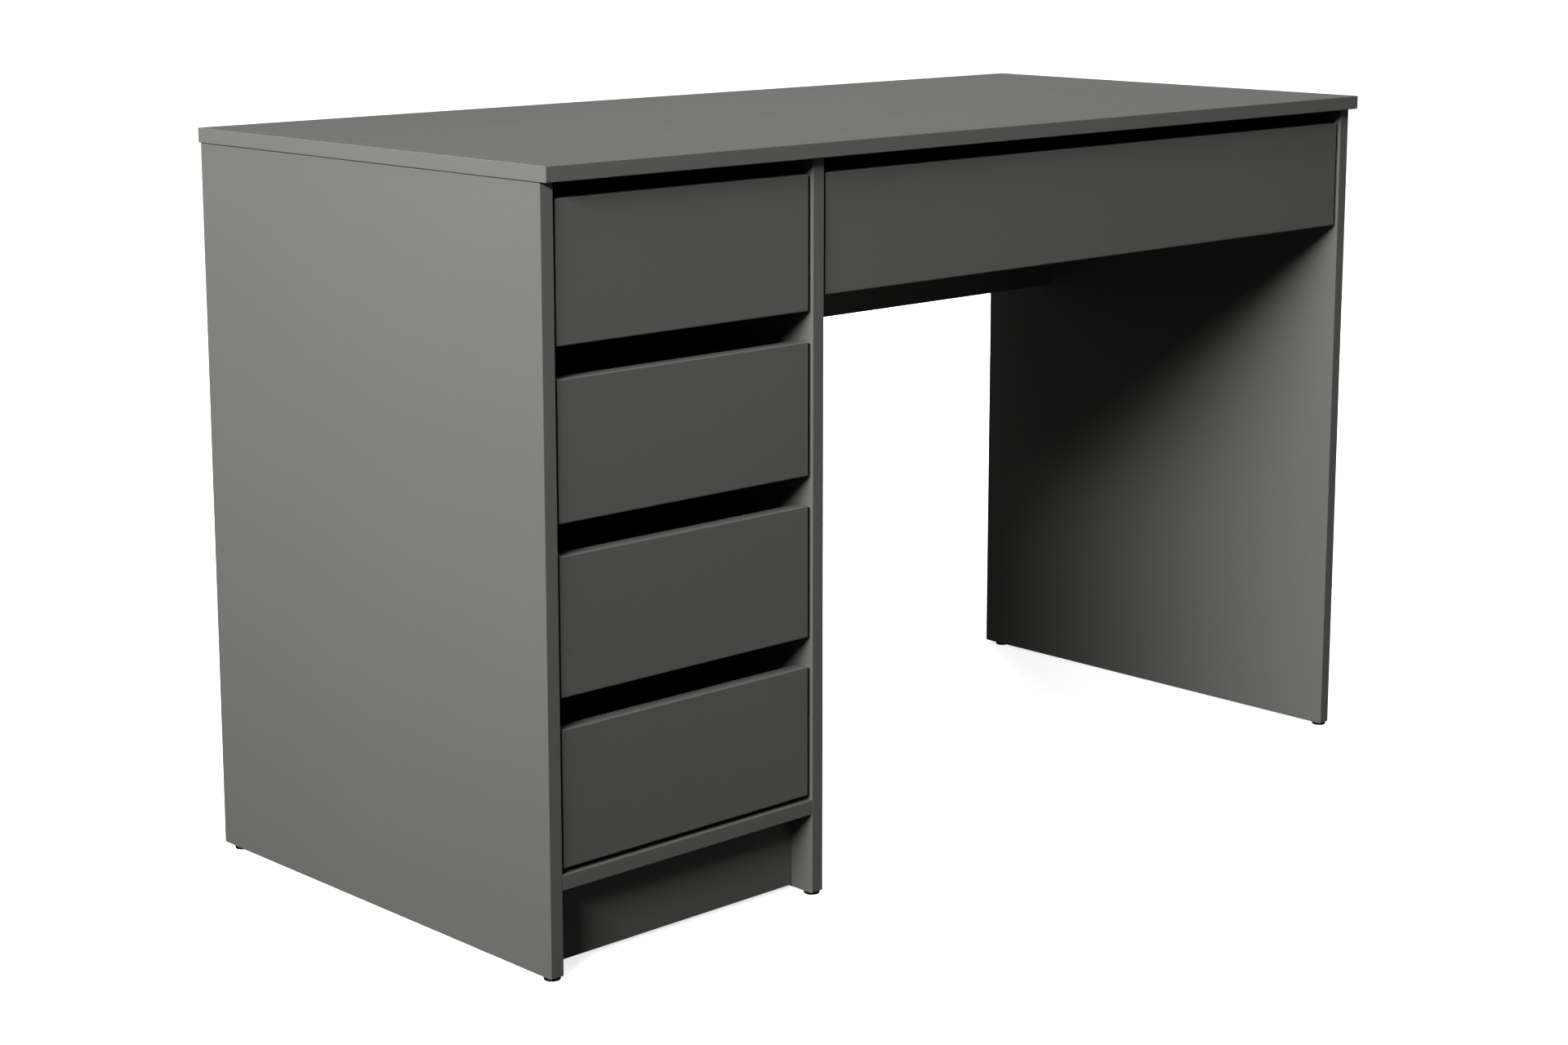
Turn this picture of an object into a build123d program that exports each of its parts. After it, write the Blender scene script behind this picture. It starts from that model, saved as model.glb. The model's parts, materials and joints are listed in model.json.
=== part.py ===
"""Writing desk of 15 mm board: a pedestal with four drawers and one wide drawer over the kneehole.

Millimetres, +Z up. The origin is on the floor under the middle of the worktop, and the drawer
fronts face -Y. Every board, runner, roller and fastener is a solid of its own.
"""
from build123d import *
from math import floor
import os

# Worktop and overall size
desk_width = 1200.0
desk_depth = 550.0
desk_height = 750.0
board = 15.0               # worktop, panels, plinth, stretcher and drawer fronts
side_overhang = 2.0        # worktop beyond the outer faces of the side panels
front_overhang = 11.0
back_overhang = 1.0
edge_round = 0.8           # rounded arris of the edge banding

# Carcass
glide_height = 3.0
glide_radius = 8.0
glide_stem_radius = 2.5
glide_stem_length = 14.0
glide_from_front = 8.0     # centre of the front glides to the front edge of a panel
glide_from_back = 22.0
pedestal_width = 348.0     # outer face of the left panel to the kneehole face of the divider
kick_height = 84.5         # floor to the underside of the pedestal bottom
plinth_lift = 4.5          # floor to the lower edge of the plinth
plinth_setback = 29.0      # behind the front edges of the panels
stretcher_height = 248.0
stretcher_from_back = 83.5  # back edges of the panels to the back face of the stretcher
back_thickness = 3.0       # thin hardboard at the back of the pedestal
back_from_edge = 10.0
groove_depth = 5.0
groove_play = 0.2          # a groove is this much wider than its thin board
end_play = 0.5             # a thin board stops this far from the bottom of its groove

# Drawer fronts
drawer_count = 4
top_gap = 16.0             # worktop to the drawers below it, the grip of the upper drawers
finger_gap = 29.5          # above each lower drawer front, its grip
bottom_gap = 5.0
front_inset = 2.0          # behind the front edges of the panels
front_side_gap = 3.5
wide_front_height = 118.0
wide_side_gap = 4.0

# Drawer boxes
side_thickness = 12.0
side_height = 95.0
side_lift = 14.0           # lower edge of a front to the lower edge of the sides
base_thickness = 3.0
base_lift = 10.0           # lower edge of the sides to the groove of the base
base_groove_depth = 6.0

# Roller runners: an open channel on the cabinet wall and an angle under the drawer side
runner_space = 12.5        # cabinet wall to drawer side
runner_step = 50.0         # the lengths that runners come in are multiples of this
runner_behind = 10.0       # least room between the drawers and the stretcher
travel_share = 0.75        # a single runner opens to three quarters of its length
sheet = 1.2
channel_reach = 10.0       # cabinet wall to the lips of the channel
running_face = 1.0         # lower edge of the drawer side up to the running face of the channel
roller_radius = 10.5
roller_width = 7.5
roller_from_end = 14.0
roller_play = 0.3          # roller to the faces that it rolls on and turns between
lip_play = 0.7             # rear roller to the upper lip of the channel
flange_play = 0.8          # upper lip of the channel to the flange of the drawer rail
flange_back = 3.0          # cabinet wall to the edge of that flange
pin_radius = 2.5
pin_clearance = 0.05
pin_head_radius = 4.0
pin_head = 1.0
stop_height = 7.0          # tabs bent down from the upper lip stop the rear roller

# Fasteners
cam_radius = 7.5
cam_skin = 2.5             # board left under a cam
cam_backset = 34.0         # joint face to the centre of the cam
cam_cross = 9.0
cam_cross_width = 1.6
bolt_radius = 3.0
bolt_head_radius = 3.6
bolt_head_length = 5.0
bolt_thread = 11.0
dowel_radius = 4.0
dowel_short = 10.0
dowel_long = 20.0
bore_play = 0.05           # radial play of a cam, dowel, screw or stem in its bore
bore_spare = 1.0           # a bore is this much deeper than what it holds
cam_from_edge = 60.0       # cams to the front and back edges of the panels
dowel_from_edge = 124.0
rail_screw_radius = 2.0
rail_screw_head = 3.6
rail_screw_length = 11.0
rail_screw_first = 37.0    # first hole of the 32 mm row of a cabinet rail
hole_pitch = 32.0
rail_screw_last = 20.0     # least distance from the last screw to the end of the rail
drawer_screw_radius = 1.75
drawer_screw_head = 3.5
drawer_screw_head_height = 2.0
drawer_screw_length = 25.0
drawer_screw_from_end = 60.0

# Places worked out from the sizes above
under_top = desk_height - board
panel_left = -desk_width / 2 + side_overhang
panel_right = desk_width / 2 - side_overhang
panel_front = -desk_depth / 2 + front_overhang
panel_back = desk_depth / 2 - back_overhang
panel_depth = panel_back - panel_front
divider_right = panel_left + pedestal_width
pedestal_opening = (panel_left + board, divider_right - board)
kneehole_opening = (divider_right, panel_right - board)
pedestal_floor = kick_height + board
front_height = (
    under_top - pedestal_floor - top_gap - bottom_gap - (drawer_count - 1) * finger_gap
) / drawer_count
stretcher_back = panel_back - stretcher_from_back
stretcher_front = stretcher_back - board
box_front = panel_front + front_inset + board
runner_length = runner_step * floor((stretcher_front - box_front - runner_behind) / runner_step)
box_back = box_front + runner_length
travel = travel_share * runner_length
groove_width = back_thickness + groove_play
groove_front = panel_back - back_from_edge - groove_width
back_front = groove_front + groove_play / 2
cam_pocket = board - cam_skin
drawer_screw_inset = (side_thickness - base_groove_depth) / 2  # middle of the wood beside the groove

# Heights of a runner, counted from the lower edge of the drawer side
channel_height = 2 * roller_radius + roller_play + lip_play
flange_under = running_face + channel_height + sheet + flange_play
front_roller_height = flange_under - roller_play - roller_radius
rear_roller_height = running_face + roller_play + roller_radius
rail_screw_height = running_face + channel_height / 2
rail_front = box_front + roller_play
front_roller_y = rail_front + roller_from_end
rear_roller_y = box_back - roller_from_end
rail_screw_steps = floor((runner_length - rail_screw_first - rail_screw_last) / hole_pitch)
rail_screw_y = [
    rail_front + rail_screw_first + hole_pitch * step
    for step in (0, rail_screw_steps // 2, rail_screw_steps)
]

# Each drawer: its name, the cabinet faces at its sides, the lower edge and height of its front
drawers = []
for number in range(1, drawer_count + 1):
    front_top = under_top - top_gap - (number - 1) * (front_height + finger_gap)
    drawers.append(
        (f"drawer_{number}", pedestal_opening, front_top - front_height, front_height, front_side_gap)
    )
wide_low = under_top - top_gap - wide_front_height
drawers.append(("wide_drawer", kneehole_opening, wide_low, wide_front_height, wide_side_gap))

FRONT = (0, -1, 0)
BACK = (0, 1, 0)
LEFT = (-1, 0, 0)
RIGHT = (1, 0, 0)
UP = (0, 0, 1)
DOWN = (0, 0, -1)
BLOCK = (Align.MIN, Align.MIN)


def step_from(point, direction, distance):
    """The point that lies a distance from another along a direction."""
    return tuple(p + d * distance for p, d in zip(point, direction))


def facing(point, direction):
    """A plane at a point whose normal is the direction."""
    return Plane(origin=point, z_dir=direction)


def slab(x, y, z):
    """Adds a rectangular block between two x, two y and two z values."""
    with BuildSketch(Plane.XY.offset(z[0])) as profile:
        with Locations((x[0], y[0])):
            Rectangle(x[1] - x[0], y[1] - y[0], align=BLOCK)
    extrude(profile.sketch, amount=z[1] - z[0])


def trench(x, y, z):
    """Cuts a rectangular groove between two x, two y and two z values."""
    with BuildSketch(Plane.XY.offset(z[0])) as profile:
        with Locations((x[0], y[0])):
            Rectangle(x[1] - x[0], y[1] - y[0], align=BLOCK)
    extrude(profile.sketch, amount=z[1] - z[0], mode=Mode.SUBTRACT)


def rod(point, direction, radius, length):
    """Adds a round rod that starts at a point and runs along a direction."""
    with BuildSketch(facing(point, direction)) as profile:
        Circle(radius)
    extrude(profile.sketch, amount=length)


def drill(point, inward, radius, depth):
    """Bores a blind round hole from a point on a face into the board."""
    with Locations(facing(point, step_from((0, 0, 0), inward, -1))):
        Hole(radius, depth=depth)


def save(piece, name):
    """Labels a finished piece and writes it to its own file."""
    piece.part.label = name
    export_step(piece.part, f"parts/{name}.step")


# Cam fittings: the point on the joint face, the way into the board that holds the cam, and the
# way that the cam faces. The bolt is screwed into the other board.
panel_middles = {
    "left": panel_left + board / 2,
    "divider": divider_right - board / 2,
    "right": panel_right - board / 2,
}
cam_rows = (panel_front + cam_from_edge, panel_back - cam_from_edge)
dowel_rows = (panel_front + dowel_from_edge, panel_back - dowel_from_edge)
bottom_middle = kick_height + board / 2
bottom_dowel_rows = (dowel_rows[0], dowel_rows[1] - cam_from_edge)
plinth_middle = panel_front + plinth_setback + board / 2
plinth_cam_height = plinth_lift + (kick_height - plinth_lift) / 3
plinth_dowel_height = plinth_lift + (kick_height - plinth_lift) * 2 / 3
stretcher_middle = stretcher_front + board / 2
stretcher_low = under_top - stretcher_height
stretcher_cam_heights = (stretcher_low + stretcher_height / 5, under_top - stretcher_height / 5)
stretcher_dowel_height = under_top - stretcher_height / 2

top_cams = {
    side: [((middle, y, under_top), DOWN, RIGHT if side == "left" else LEFT) for y in cam_rows]
    for side, middle in panel_middles.items()
}
bottom_cams = {
    "left": [((pedestal_opening[0], y, bottom_middle), RIGHT, DOWN) for y in cam_rows],
    "divider": [((pedestal_opening[1], y, bottom_middle), LEFT, DOWN) for y in cam_rows],
}
plinth_cams = {
    "left": [((pedestal_opening[0], plinth_middle, plinth_cam_height), RIGHT, BACK)],
    "divider": [((pedestal_opening[1], plinth_middle, plinth_cam_height), LEFT, BACK)],
}
stretcher_cams = {
    "divider": [((kneehole_opening[0], stretcher_middle, z), RIGHT, BACK) for z in stretcher_cam_heights],
    "right": [((kneehole_opening[1], stretcher_middle, z), LEFT, BACK) for z in stretcher_cam_heights],
}

# Dowels: the point on the joint face and the way into the board that holds their long end
top_dowels = {
    side: [((middle, y, under_top), DOWN) for y in dowel_rows] for side, middle in panel_middles.items()
}
bottom_dowels = {
    "left": [((pedestal_opening[0], y, bottom_middle), RIGHT) for y in bottom_dowel_rows],
    "divider": [((pedestal_opening[1], y, bottom_middle), LEFT) for y in bottom_dowel_rows],
}
plinth_dowels = {
    "left": [((pedestal_opening[0], plinth_middle, plinth_dowel_height), RIGHT)],
    "divider": [((pedestal_opening[1], plinth_middle, plinth_dowel_height), LEFT)],
}
stretcher_dowels = {
    "divider": [((kneehole_opening[0], stretcher_middle, stretcher_dowel_height), RIGHT)],
    "right": [((kneehole_opening[1], stretcher_middle, stretcher_dowel_height), LEFT)],
}


def all_of(*groups):
    """Every fitting of several groups in one list."""
    return [fitting for group in groups for fittings in group.values() for fitting in fittings]


def bore_for_cams(fittings):
    """In the board that holds the cams: a pocket for each cam and a way in for its bolt."""
    for point, inward, out in fittings:
        centre = step_from(point, inward, cam_backset)
        mouth = step_from(centre, out, board / 2)
        drill(mouth, step_from((0, 0, 0), out, -1), cam_radius + bore_play, cam_pocket)
        drill(point, inward, bolt_head_radius + bore_play, cam_backset)


def bore_for_bolts(fittings):
    """In the other board: the blind hole that the bolt is screwed into."""
    for point, inward, out in fittings:
        backward = step_from((0, 0, 0), inward, -1)
        drill(point, backward, bolt_radius + bore_play, bolt_thread + bore_spare)


def bore_for_dowels(fittings, long_end):
    """Blind holes for the long or the short ends of the dowels."""
    for point, inward in fittings:
        way = inward if long_end else step_from((0, 0, 0), inward, -1)
        depth = dowel_long if long_end else dowel_short
        drill(point, way, dowel_radius + bore_play, depth + bore_spare)


def bore_for_rail_screws(wall, inward, base_heights):
    """Holes in a cabinet wall for the screws of the rails at the given drawer side heights."""
    for base in base_heights:
        for y in rail_screw_y:
            start = (wall, y, base + rail_screw_height)
            drill(start, inward, rail_screw_radius + bore_play, rail_screw_length + bore_spare)


def glide_places(middle):
    """The two glides under one panel."""
    for y in (panel_front + glide_from_front, panel_back - glide_from_back):
        yield (middle, y, glide_height)


def upright(side, outer_left):
    """Adds one of the three upright panels with its bores for cams, dowels and glides."""
    slab((outer_left, outer_left + board), (panel_front, panel_back), (glide_height, under_top))
    upright_edges = [
        edge for edge in edges().filter_by(Axis.Z)
        if abs(edge.center().Y - panel_front) < end_play
    ]
    fillet(upright_edges, radius=edge_round)
    bore_for_cams(top_cams[side])
    bore_for_dowels(top_dowels[side], long_end=True)
    for place in glide_places(panel_middles[side]):
        drill(place, UP, glide_stem_radius + bore_play, glide_stem_length + bore_spare)


os.makedirs("parts", exist_ok=True)
pedestal_bases = [low + side_lift for name, walls, low, height, gap in drawers[:drawer_count]]
wide_base = wide_low + side_lift
back_span = (groove_front, groove_front + groove_width)
back_heights = (kick_height, under_top)

# Worktop
with BuildPart() as desk_top:
    slab(
        (-desk_width / 2, desk_width / 2),
        (-desk_depth / 2, desk_depth / 2),
        (under_top, desk_height),
    )
    fillet(desk_top.edges(), radius=edge_round)
    bore_for_bolts(all_of(top_cams))
    bore_for_dowels(all_of(top_dowels), long_end=False)
save(desk_top, "desk_top")

# Left side panel, with the groove for the back and the rows of runner screws
with BuildPart() as left_side_panel:
    upright("left", panel_left)
    inner = pedestal_opening[0]
    trench((inner - groove_depth, inner), back_span, back_heights)
    bore_for_bolts(bottom_cams["left"] + plinth_cams["left"])
    bore_for_dowels(bottom_dowels["left"] + plinth_dowels["left"], long_end=False)
    bore_for_rail_screws(inner, LEFT, pedestal_bases)
save(left_side_panel, "left_side_panel")

# Divider between the pedestal and the kneehole
with BuildPart() as divider_panel:
    upright("divider", pedestal_opening[1])
    inner = pedestal_opening[1]
    trench((inner, inner + groove_depth), back_span, back_heights)
    bore_for_bolts(bottom_cams["divider"] + plinth_cams["divider"] + stretcher_cams["divider"])
    dowels_here = bottom_dowels["divider"] + plinth_dowels["divider"] + stretcher_dowels["divider"]
    bore_for_dowels(dowels_here, long_end=False)
    bore_for_rail_screws(inner, RIGHT, pedestal_bases)
    bore_for_rail_screws(divider_right, LEFT, [wide_base])
save(divider_panel, "divider_panel")

# Right side panel
with BuildPart() as right_side_panel:
    upright("right", kneehole_opening[1])
    bore_for_bolts(stretcher_cams["right"])
    bore_for_dowels(stretcher_dowels["right"], long_end=False)
    bore_for_rail_screws(kneehole_opening[1], RIGHT, [wide_base])
save(right_side_panel, "right_side_panel")

# Bottom board of the pedestal
with BuildPart() as pedestal_bottom:
    slab(pedestal_opening, (panel_front, back_front), (kick_height, pedestal_floor))
    front_edges = pedestal_bottom.edges().filter_by(Axis.X).group_by(Axis.Y)[0]
    fillet(front_edges, radius=edge_round)
    bore_for_cams(all_of(bottom_cams))
    bore_for_dowels(all_of(bottom_dowels), long_end=True)
save(pedestal_bottom, "pedestal_bottom")

# Plinth under the pedestal, set back for the toes
with BuildPart() as plinth_board:
    plinth_front = panel_front + plinth_setback
    slab(pedestal_opening, (plinth_front, plinth_front + board), (plinth_lift, kick_height))
    bore_for_cams(all_of(plinth_cams))
    bore_for_dowels(all_of(plinth_dowels), long_end=True)
save(plinth_board, "plinth_board")

# Rear stretcher across the kneehole, under the worktop
with BuildPart() as rear_stretcher:
    slab(kneehole_opening, (stretcher_front, stretcher_back), (stretcher_low, under_top))
    low_edges = rear_stretcher.edges().filter_by(Axis.X).group_by(Axis.Z)[0]
    fillet(low_edges, radius=edge_round)
    bore_for_cams(all_of(stretcher_cams))
    bore_for_dowels(all_of(stretcher_dowels), long_end=True)
save(rear_stretcher, "rear_stretcher")

# Thin back of the pedestal, slid into the grooves of the panels
with BuildPart() as pedestal_back:
    reach = groove_depth - end_play
    slab(
        (pedestal_opening[0] - reach, pedestal_opening[1] + reach),
        (back_front, back_front + back_thickness),
        (kick_height + end_play, under_top - end_play),
    )
save(pedestal_back, "pedestal_back")

# Six round glides, each knocked into the lower edge of a panel
with BuildPart() as glides:
    for middle in panel_middles.values():
        for place in glide_places(middle):
            rod(place, DOWN, glide_radius, glide_height)
            rod(place, UP, glide_stem_radius, glide_stem_length)
    floor_edges = glides.edges().filter_by(GeomType.CIRCLE).group_by(Axis.Z)[0]
    fillet(floor_edges, radius=edge_round)
save(glides, "glides")

# Cam locks: a disc in its pocket, open to one side for the bolt's head, with a cross recess
with BuildPart() as cam_locks:
    for point, inward, out in all_of(top_cams, bottom_cams, plinth_cams, stretcher_cams):
        centre = step_from(point, inward, cam_backset)
        mouth = step_from(centre, out, board / 2)
        rod(step_from(mouth, out, -cam_pocket), out, cam_radius, cam_pocket)
        with BuildSketch(facing(mouth, out)):
            Rectangle(cam_cross, cam_cross_width)
            Rectangle(cam_cross_width, cam_cross)
        extrude(amount=-cam_cross_width, mode=Mode.SUBTRACT)
        with BuildSketch(facing(step_from(point, inward, cam_backset - 2 * cam_radius), inward)):
            Circle(bolt_head_radius + roller_play)
        extrude(amount=2 * cam_radius + bolt_head_length, mode=Mode.SUBTRACT)
save(cam_locks, "cam_locks")

# Cam bolts: a thread in one board, a neck and a head that the cam draws in
with BuildPart() as cam_bolts:
    for point, inward, out in all_of(top_cams, bottom_cams, plinth_cams, stretcher_cams):
        rod(step_from(point, inward, -bolt_thread), inward, bolt_radius, cam_backset + bolt_thread)
        head = step_from(point, inward, cam_backset - bolt_head_length)
        rod(head, inward, bolt_head_radius, bolt_head_length)
save(cam_bolts, "cam_bolts")

# Beech dowels
with BuildPart() as dowels:
    for point, inward in all_of(top_dowels, bottom_dowels, plinth_dowels, stretcher_dowels):
        rod(step_from(point, inward, -dowel_short), inward, dowel_radius, dowel_short + dowel_long)
save(dowels, "dowels")


def across(wall, way, near, far):
    """The x values of a strip that lies from near to far of a cabinet wall, lower one first."""
    return tuple(sorted((wall + way * near, wall + way * far)))


def roller_pin(wall, way, web, tip, y, z):
    """Adds the riveted pin of a roller, from the web of its rail to a head past the roller."""
    toward = (way if tip > web else -way, 0, 0)
    reach = abs(tip - web)
    start = (wall + way * web, y, z)
    rod(start, toward, pin_radius, reach)
    rod(step_from(start, toward, reach), toward, pin_head_radius, pin_head)


def cabinet_rail(wall, way, base):
    """Adds the channel that is screwed to a cabinet wall, for the drawer side edge at base."""
    low = base + running_face - sheet
    high = base + running_face + channel_height + sheet
    outline = [
        (0, low), (channel_reach, low), (channel_reach, low + sheet), (sheet, low + sheet),
        (sheet, high - sheet), (channel_reach, high - sheet), (channel_reach, high), (0, high),
    ]
    with BuildSketch(Plane.XZ.offset(-(rail_front + runner_length))) as profile:
        with BuildLine():
            Polyline(*[(wall + way * u, z) for u, z in outline], close=True)
        make_face()
    extrude(profile.sketch, amount=runner_length)
    # the upper lip is cut away over the front roller
    lip = across(wall, way, sheet, channel_reach + roller_play)
    roller_room = (rail_front - roller_play, front_roller_y + roller_from_end)
    trench(lip, roller_room, (high - sheet - roller_play, high + roller_play))
    # tabs that stop the rear roller when the drawer is closed and when it is fully open
    closed_stop = rear_roller_y + roller_radius + roller_play
    open_stop = rear_roller_y - travel - roller_radius - roller_play - sheet
    for y in (open_stop, closed_stop):
        slab(
            across(wall, way, sheet, channel_reach),
            (y, y + sheet),
            (high - sheet - stop_height, high - sheet),
        )
    head_start = sheet + 2 * roller_play + roller_width
    roller_pin(wall, way, sheet, head_start, front_roller_y, base + front_roller_height)
    for y in rail_screw_y:
        with Locations(facing((wall + way * sheet, y, base + rail_screw_height), (way, 0, 0))):
            CounterSinkHole(
                rail_screw_radius + bore_play,
                rail_screw_head + bore_play,
                depth=sheet + roller_play,
                counter_sink_angle=100,
            )


def rail_screw(wall, way, y, z):
    """Adds a countersunk screw whose head is flush with the face of a cabinet rail."""
    inward = (-way, 0, 0)
    face = (wall + way * sheet, y, z)
    rod(face, inward, rail_screw_radius, rail_screw_length)
    with Locations(facing(face, inward)):
        Cone(
            rail_screw_head,
            rail_screw_radius,
            sheet,
            align=(Align.CENTER, Align.CENTER, Align.MIN),
        )


# Cabinet rails with their front roller pins, one node for each hand
left_walls = [(pedestal_opening[0], base) for base in pedestal_bases] + [(divider_right, wide_base)]
right_walls = [(pedestal_opening[1], base) for base in pedestal_bases]
right_walls.append((kneehole_opening[1], wide_base))

with BuildPart() as left_cabinet_rails:
    for wall, base in left_walls:
        cabinet_rail(wall, 1, base)
save(left_cabinet_rails, "left_cabinet_rails")

with BuildPart() as right_cabinet_rails:
    for wall, base in right_walls:
        cabinet_rail(wall, -1, base)
save(right_cabinet_rails, "right_cabinet_rails")

with BuildPart() as rail_screws:
    for way, walls in ((1, left_walls), (-1, right_walls)):
        for wall, base in walls:
            for y in rail_screw_y:
                rail_screw(wall, way, y, base + rail_screw_height)
save(rail_screws, "rail_screws")


def roller(wall, way, near, y, z):
    """Adds one nylon roller with its bore, from near to its width further from the wall."""
    x = across(wall, way, near, near + roller_width)
    rod((x[0], y, z), RIGHT, roller_radius, roller_width)
    with Locations(facing((x[1], y, z), RIGHT)):
        Hole(pin_radius + pin_clearance, depth=roller_width)


def drawer_rail(wall, way, base):
    """Adds the angle that is screwed under a drawer side and carries the rear roller."""
    web = runner_space - sheet
    low = base - sheet
    high = base + flange_under + sheet
    outline = [
        (web, low), (runner_space + side_thickness, low), (runner_space + side_thickness, base),
        (runner_space, base), (runner_space, high), (flange_back, high),
        (flange_back, high - sheet), (web, high - sheet),
    ]
    with BuildSketch(Plane.XZ.offset(-box_back)) as profile:
        with BuildLine():
            Polyline(*[(wall + way * u, z) for u, z in outline], close=True)
        make_face()
    extrude(profile.sketch, amount=runner_length)
    head_start = web - 2 * roller_play - roller_width
    roller_pin(wall, way, web, head_start, rear_roller_y, base + rear_roller_height)
    for place in drawer_rail_screws(wall, way, base):
        drill(place, UP, drawer_screw_radius + bore_play, sheet)


def drawer_rail_screws(wall, way, base):
    """Where the screws of a drawer rail enter its lower flange."""
    x = wall + way * (runner_space + drawer_screw_inset)
    for y in (box_front + drawer_screw_from_end, box_back - drawer_screw_from_end):
        yield (x, y, base - sheet)


def back_screws(wall, way, base):
    """Where the screws through a drawer side into the drawer back enter the side."""
    for z in (base + side_height * 0.5, base + side_height * 0.8):
        yield (wall + way * runner_space, box_back - side_thickness / 2, z)


def drawer_screw(point, inward):
    """Adds a pan-head screw."""
    rod(point, inward, drawer_screw_radius, drawer_screw_length)
    out = step_from((0, 0, 0), inward, -1)
    rod(point, out, drawer_screw_head, drawer_screw_head_height)


def make_drawer(name, walls, low, height, side_gap):
    """Builds and writes the pieces of one drawer and its rollers."""
    base = low + side_lift
    outer = (walls[0] + runner_space, walls[1] - runner_space)
    inner = (outer[0] + side_thickness, outer[1] - side_thickness)
    base_slot = (base + base_lift, base + base_lift + base_thickness + groove_play)
    base_low = base_slot[0] + groove_play / 2
    base_reach = base_groove_depth - end_play
    hands = ((walls[0], 1), (walls[1], -1))

    with BuildPart() as front:
        slab(
            (walls[0] + side_gap, walls[1] - side_gap),
            (box_front - board, box_front),
            (low, low + height),
        )
        fillet(front.edges(), radius=edge_round)
        trench(
            (inner[0] - base_groove_depth, inner[1] + base_groove_depth),
            (box_front - base_groove_depth, box_front),
            base_slot,
        )
    save(front, f"{name}_front")

    for hand, (wall, way) in zip(("left", "right"), hands):
        with BuildPart() as side:
            slab(
                across(wall, way, runner_space, runner_space + side_thickness),
                (box_front, box_back),
                (base, base + side_height),
            )
            groove_span = runner_space + side_thickness - base_groove_depth
            trench(
                across(wall, way, groove_span, groove_span + base_groove_depth),
                (box_front, box_back),
                base_slot,
            )
            for x, y, z in drawer_rail_screws(wall, way, base):
                drill((x, y, base), UP, drawer_screw_radius + bore_play, drawer_screw_length)
            for place in back_screws(wall, way, base):
                drill(place, (way, 0, 0), drawer_screw_radius + bore_play, side_thickness)
        save(side, f"{name}_{hand}_side")

    with BuildPart() as back:
        slab(
            inner,
            (box_back - side_thickness, box_back),
            (base_low + base_thickness, base + side_height),
        )
        for wall, way in hands:
            for x, y, z in back_screws(wall, way, base):
                start = (x + way * side_thickness, y, z)
                drill(start, (way, 0, 0), drawer_screw_radius + bore_play, drawer_screw_length)
    save(back, f"{name}_back")

    with BuildPart() as bottom:
        slab(
            (inner[0] - base_reach, inner[1] + base_reach),
            (box_front - base_reach, box_back - end_play),
            (base_low, base_low + base_thickness),
        )
    save(bottom, f"{name}_bottom")

    with BuildPart() as rails:
        for wall, way in hands:
            drawer_rail(wall, way, base)
    save(rails, f"{name}_rails")

    with BuildPart() as screws:
        for wall, way in hands:
            for place in drawer_rail_screws(wall, way, base):
                drawer_screw(place, UP)
            for place in back_screws(wall, way, base):
                drawer_screw(place, (way, 0, 0))
    save(screws, f"{name}_screws")

    with BuildPart() as front_rollers:
        for wall, way in hands:
            near = sheet + roller_play
            roller(wall, way, near, front_roller_y, base + front_roller_height)
    save(front_rollers, f"{name}_front_rollers")

    with BuildPart() as rear_rollers:
        for wall, way in hands:
            near = runner_space - sheet - roller_play - roller_width
            roller(wall, way, near, rear_roller_y, base + rear_roller_height)
    save(rear_rollers, f"{name}_rear_rollers")


for drawer in drawers:
    make_drawer(*drawer)
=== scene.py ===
"""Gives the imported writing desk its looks: edge-banded boards, drawer boxes, runners and fittings.

The file is laid out as an add-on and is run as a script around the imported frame. Lengths are in
metres, +Z is up, and the drawer fronts face -Y.
"""
import json
import math

import bmesh
import bpy
from bpy.props import FloatProperty, FloatVectorProperty, IntProperty, PointerProperty
from mathutils import Matrix, Vector


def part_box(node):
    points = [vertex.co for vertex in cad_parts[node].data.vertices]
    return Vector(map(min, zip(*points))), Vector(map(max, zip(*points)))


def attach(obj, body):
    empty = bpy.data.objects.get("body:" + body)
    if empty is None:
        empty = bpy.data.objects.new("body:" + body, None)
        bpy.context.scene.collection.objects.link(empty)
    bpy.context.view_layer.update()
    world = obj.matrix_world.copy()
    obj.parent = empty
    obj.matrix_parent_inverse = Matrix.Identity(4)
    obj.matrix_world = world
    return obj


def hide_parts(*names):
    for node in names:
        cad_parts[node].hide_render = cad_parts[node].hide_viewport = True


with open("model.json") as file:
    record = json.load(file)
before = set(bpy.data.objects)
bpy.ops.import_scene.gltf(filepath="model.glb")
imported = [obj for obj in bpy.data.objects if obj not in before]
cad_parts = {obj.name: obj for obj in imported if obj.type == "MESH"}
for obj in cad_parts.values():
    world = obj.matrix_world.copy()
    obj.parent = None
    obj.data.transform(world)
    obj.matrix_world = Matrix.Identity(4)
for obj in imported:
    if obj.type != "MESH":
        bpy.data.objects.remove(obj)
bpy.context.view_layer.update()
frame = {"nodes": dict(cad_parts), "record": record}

bl_info = {
    "name": "Writing desk",
    "version": (1, 0, 0),
    "blender": (4, 5, 0),
    "location": "View3D > Sidebar > Desk",
    "description": "Finishes for a writing desk with a drawer pedestal",
    "category": "Object",
}

DRAWERS = ("drawer_1", "drawer_2", "drawer_3", "drawer_4", "wide_drawer")
X, Y, Z = 0, 1, 2
LEFT, RIGHT = (X, -1), (X, 1)
FRONT, BACK = (Y, -1), (Y, 1)
UNDER, OVER = (Z, -1), (Z, 1)
ALL_SIDES = (LEFT, RIGHT, FRONT, BACK, UNDER, OVER)

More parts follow.
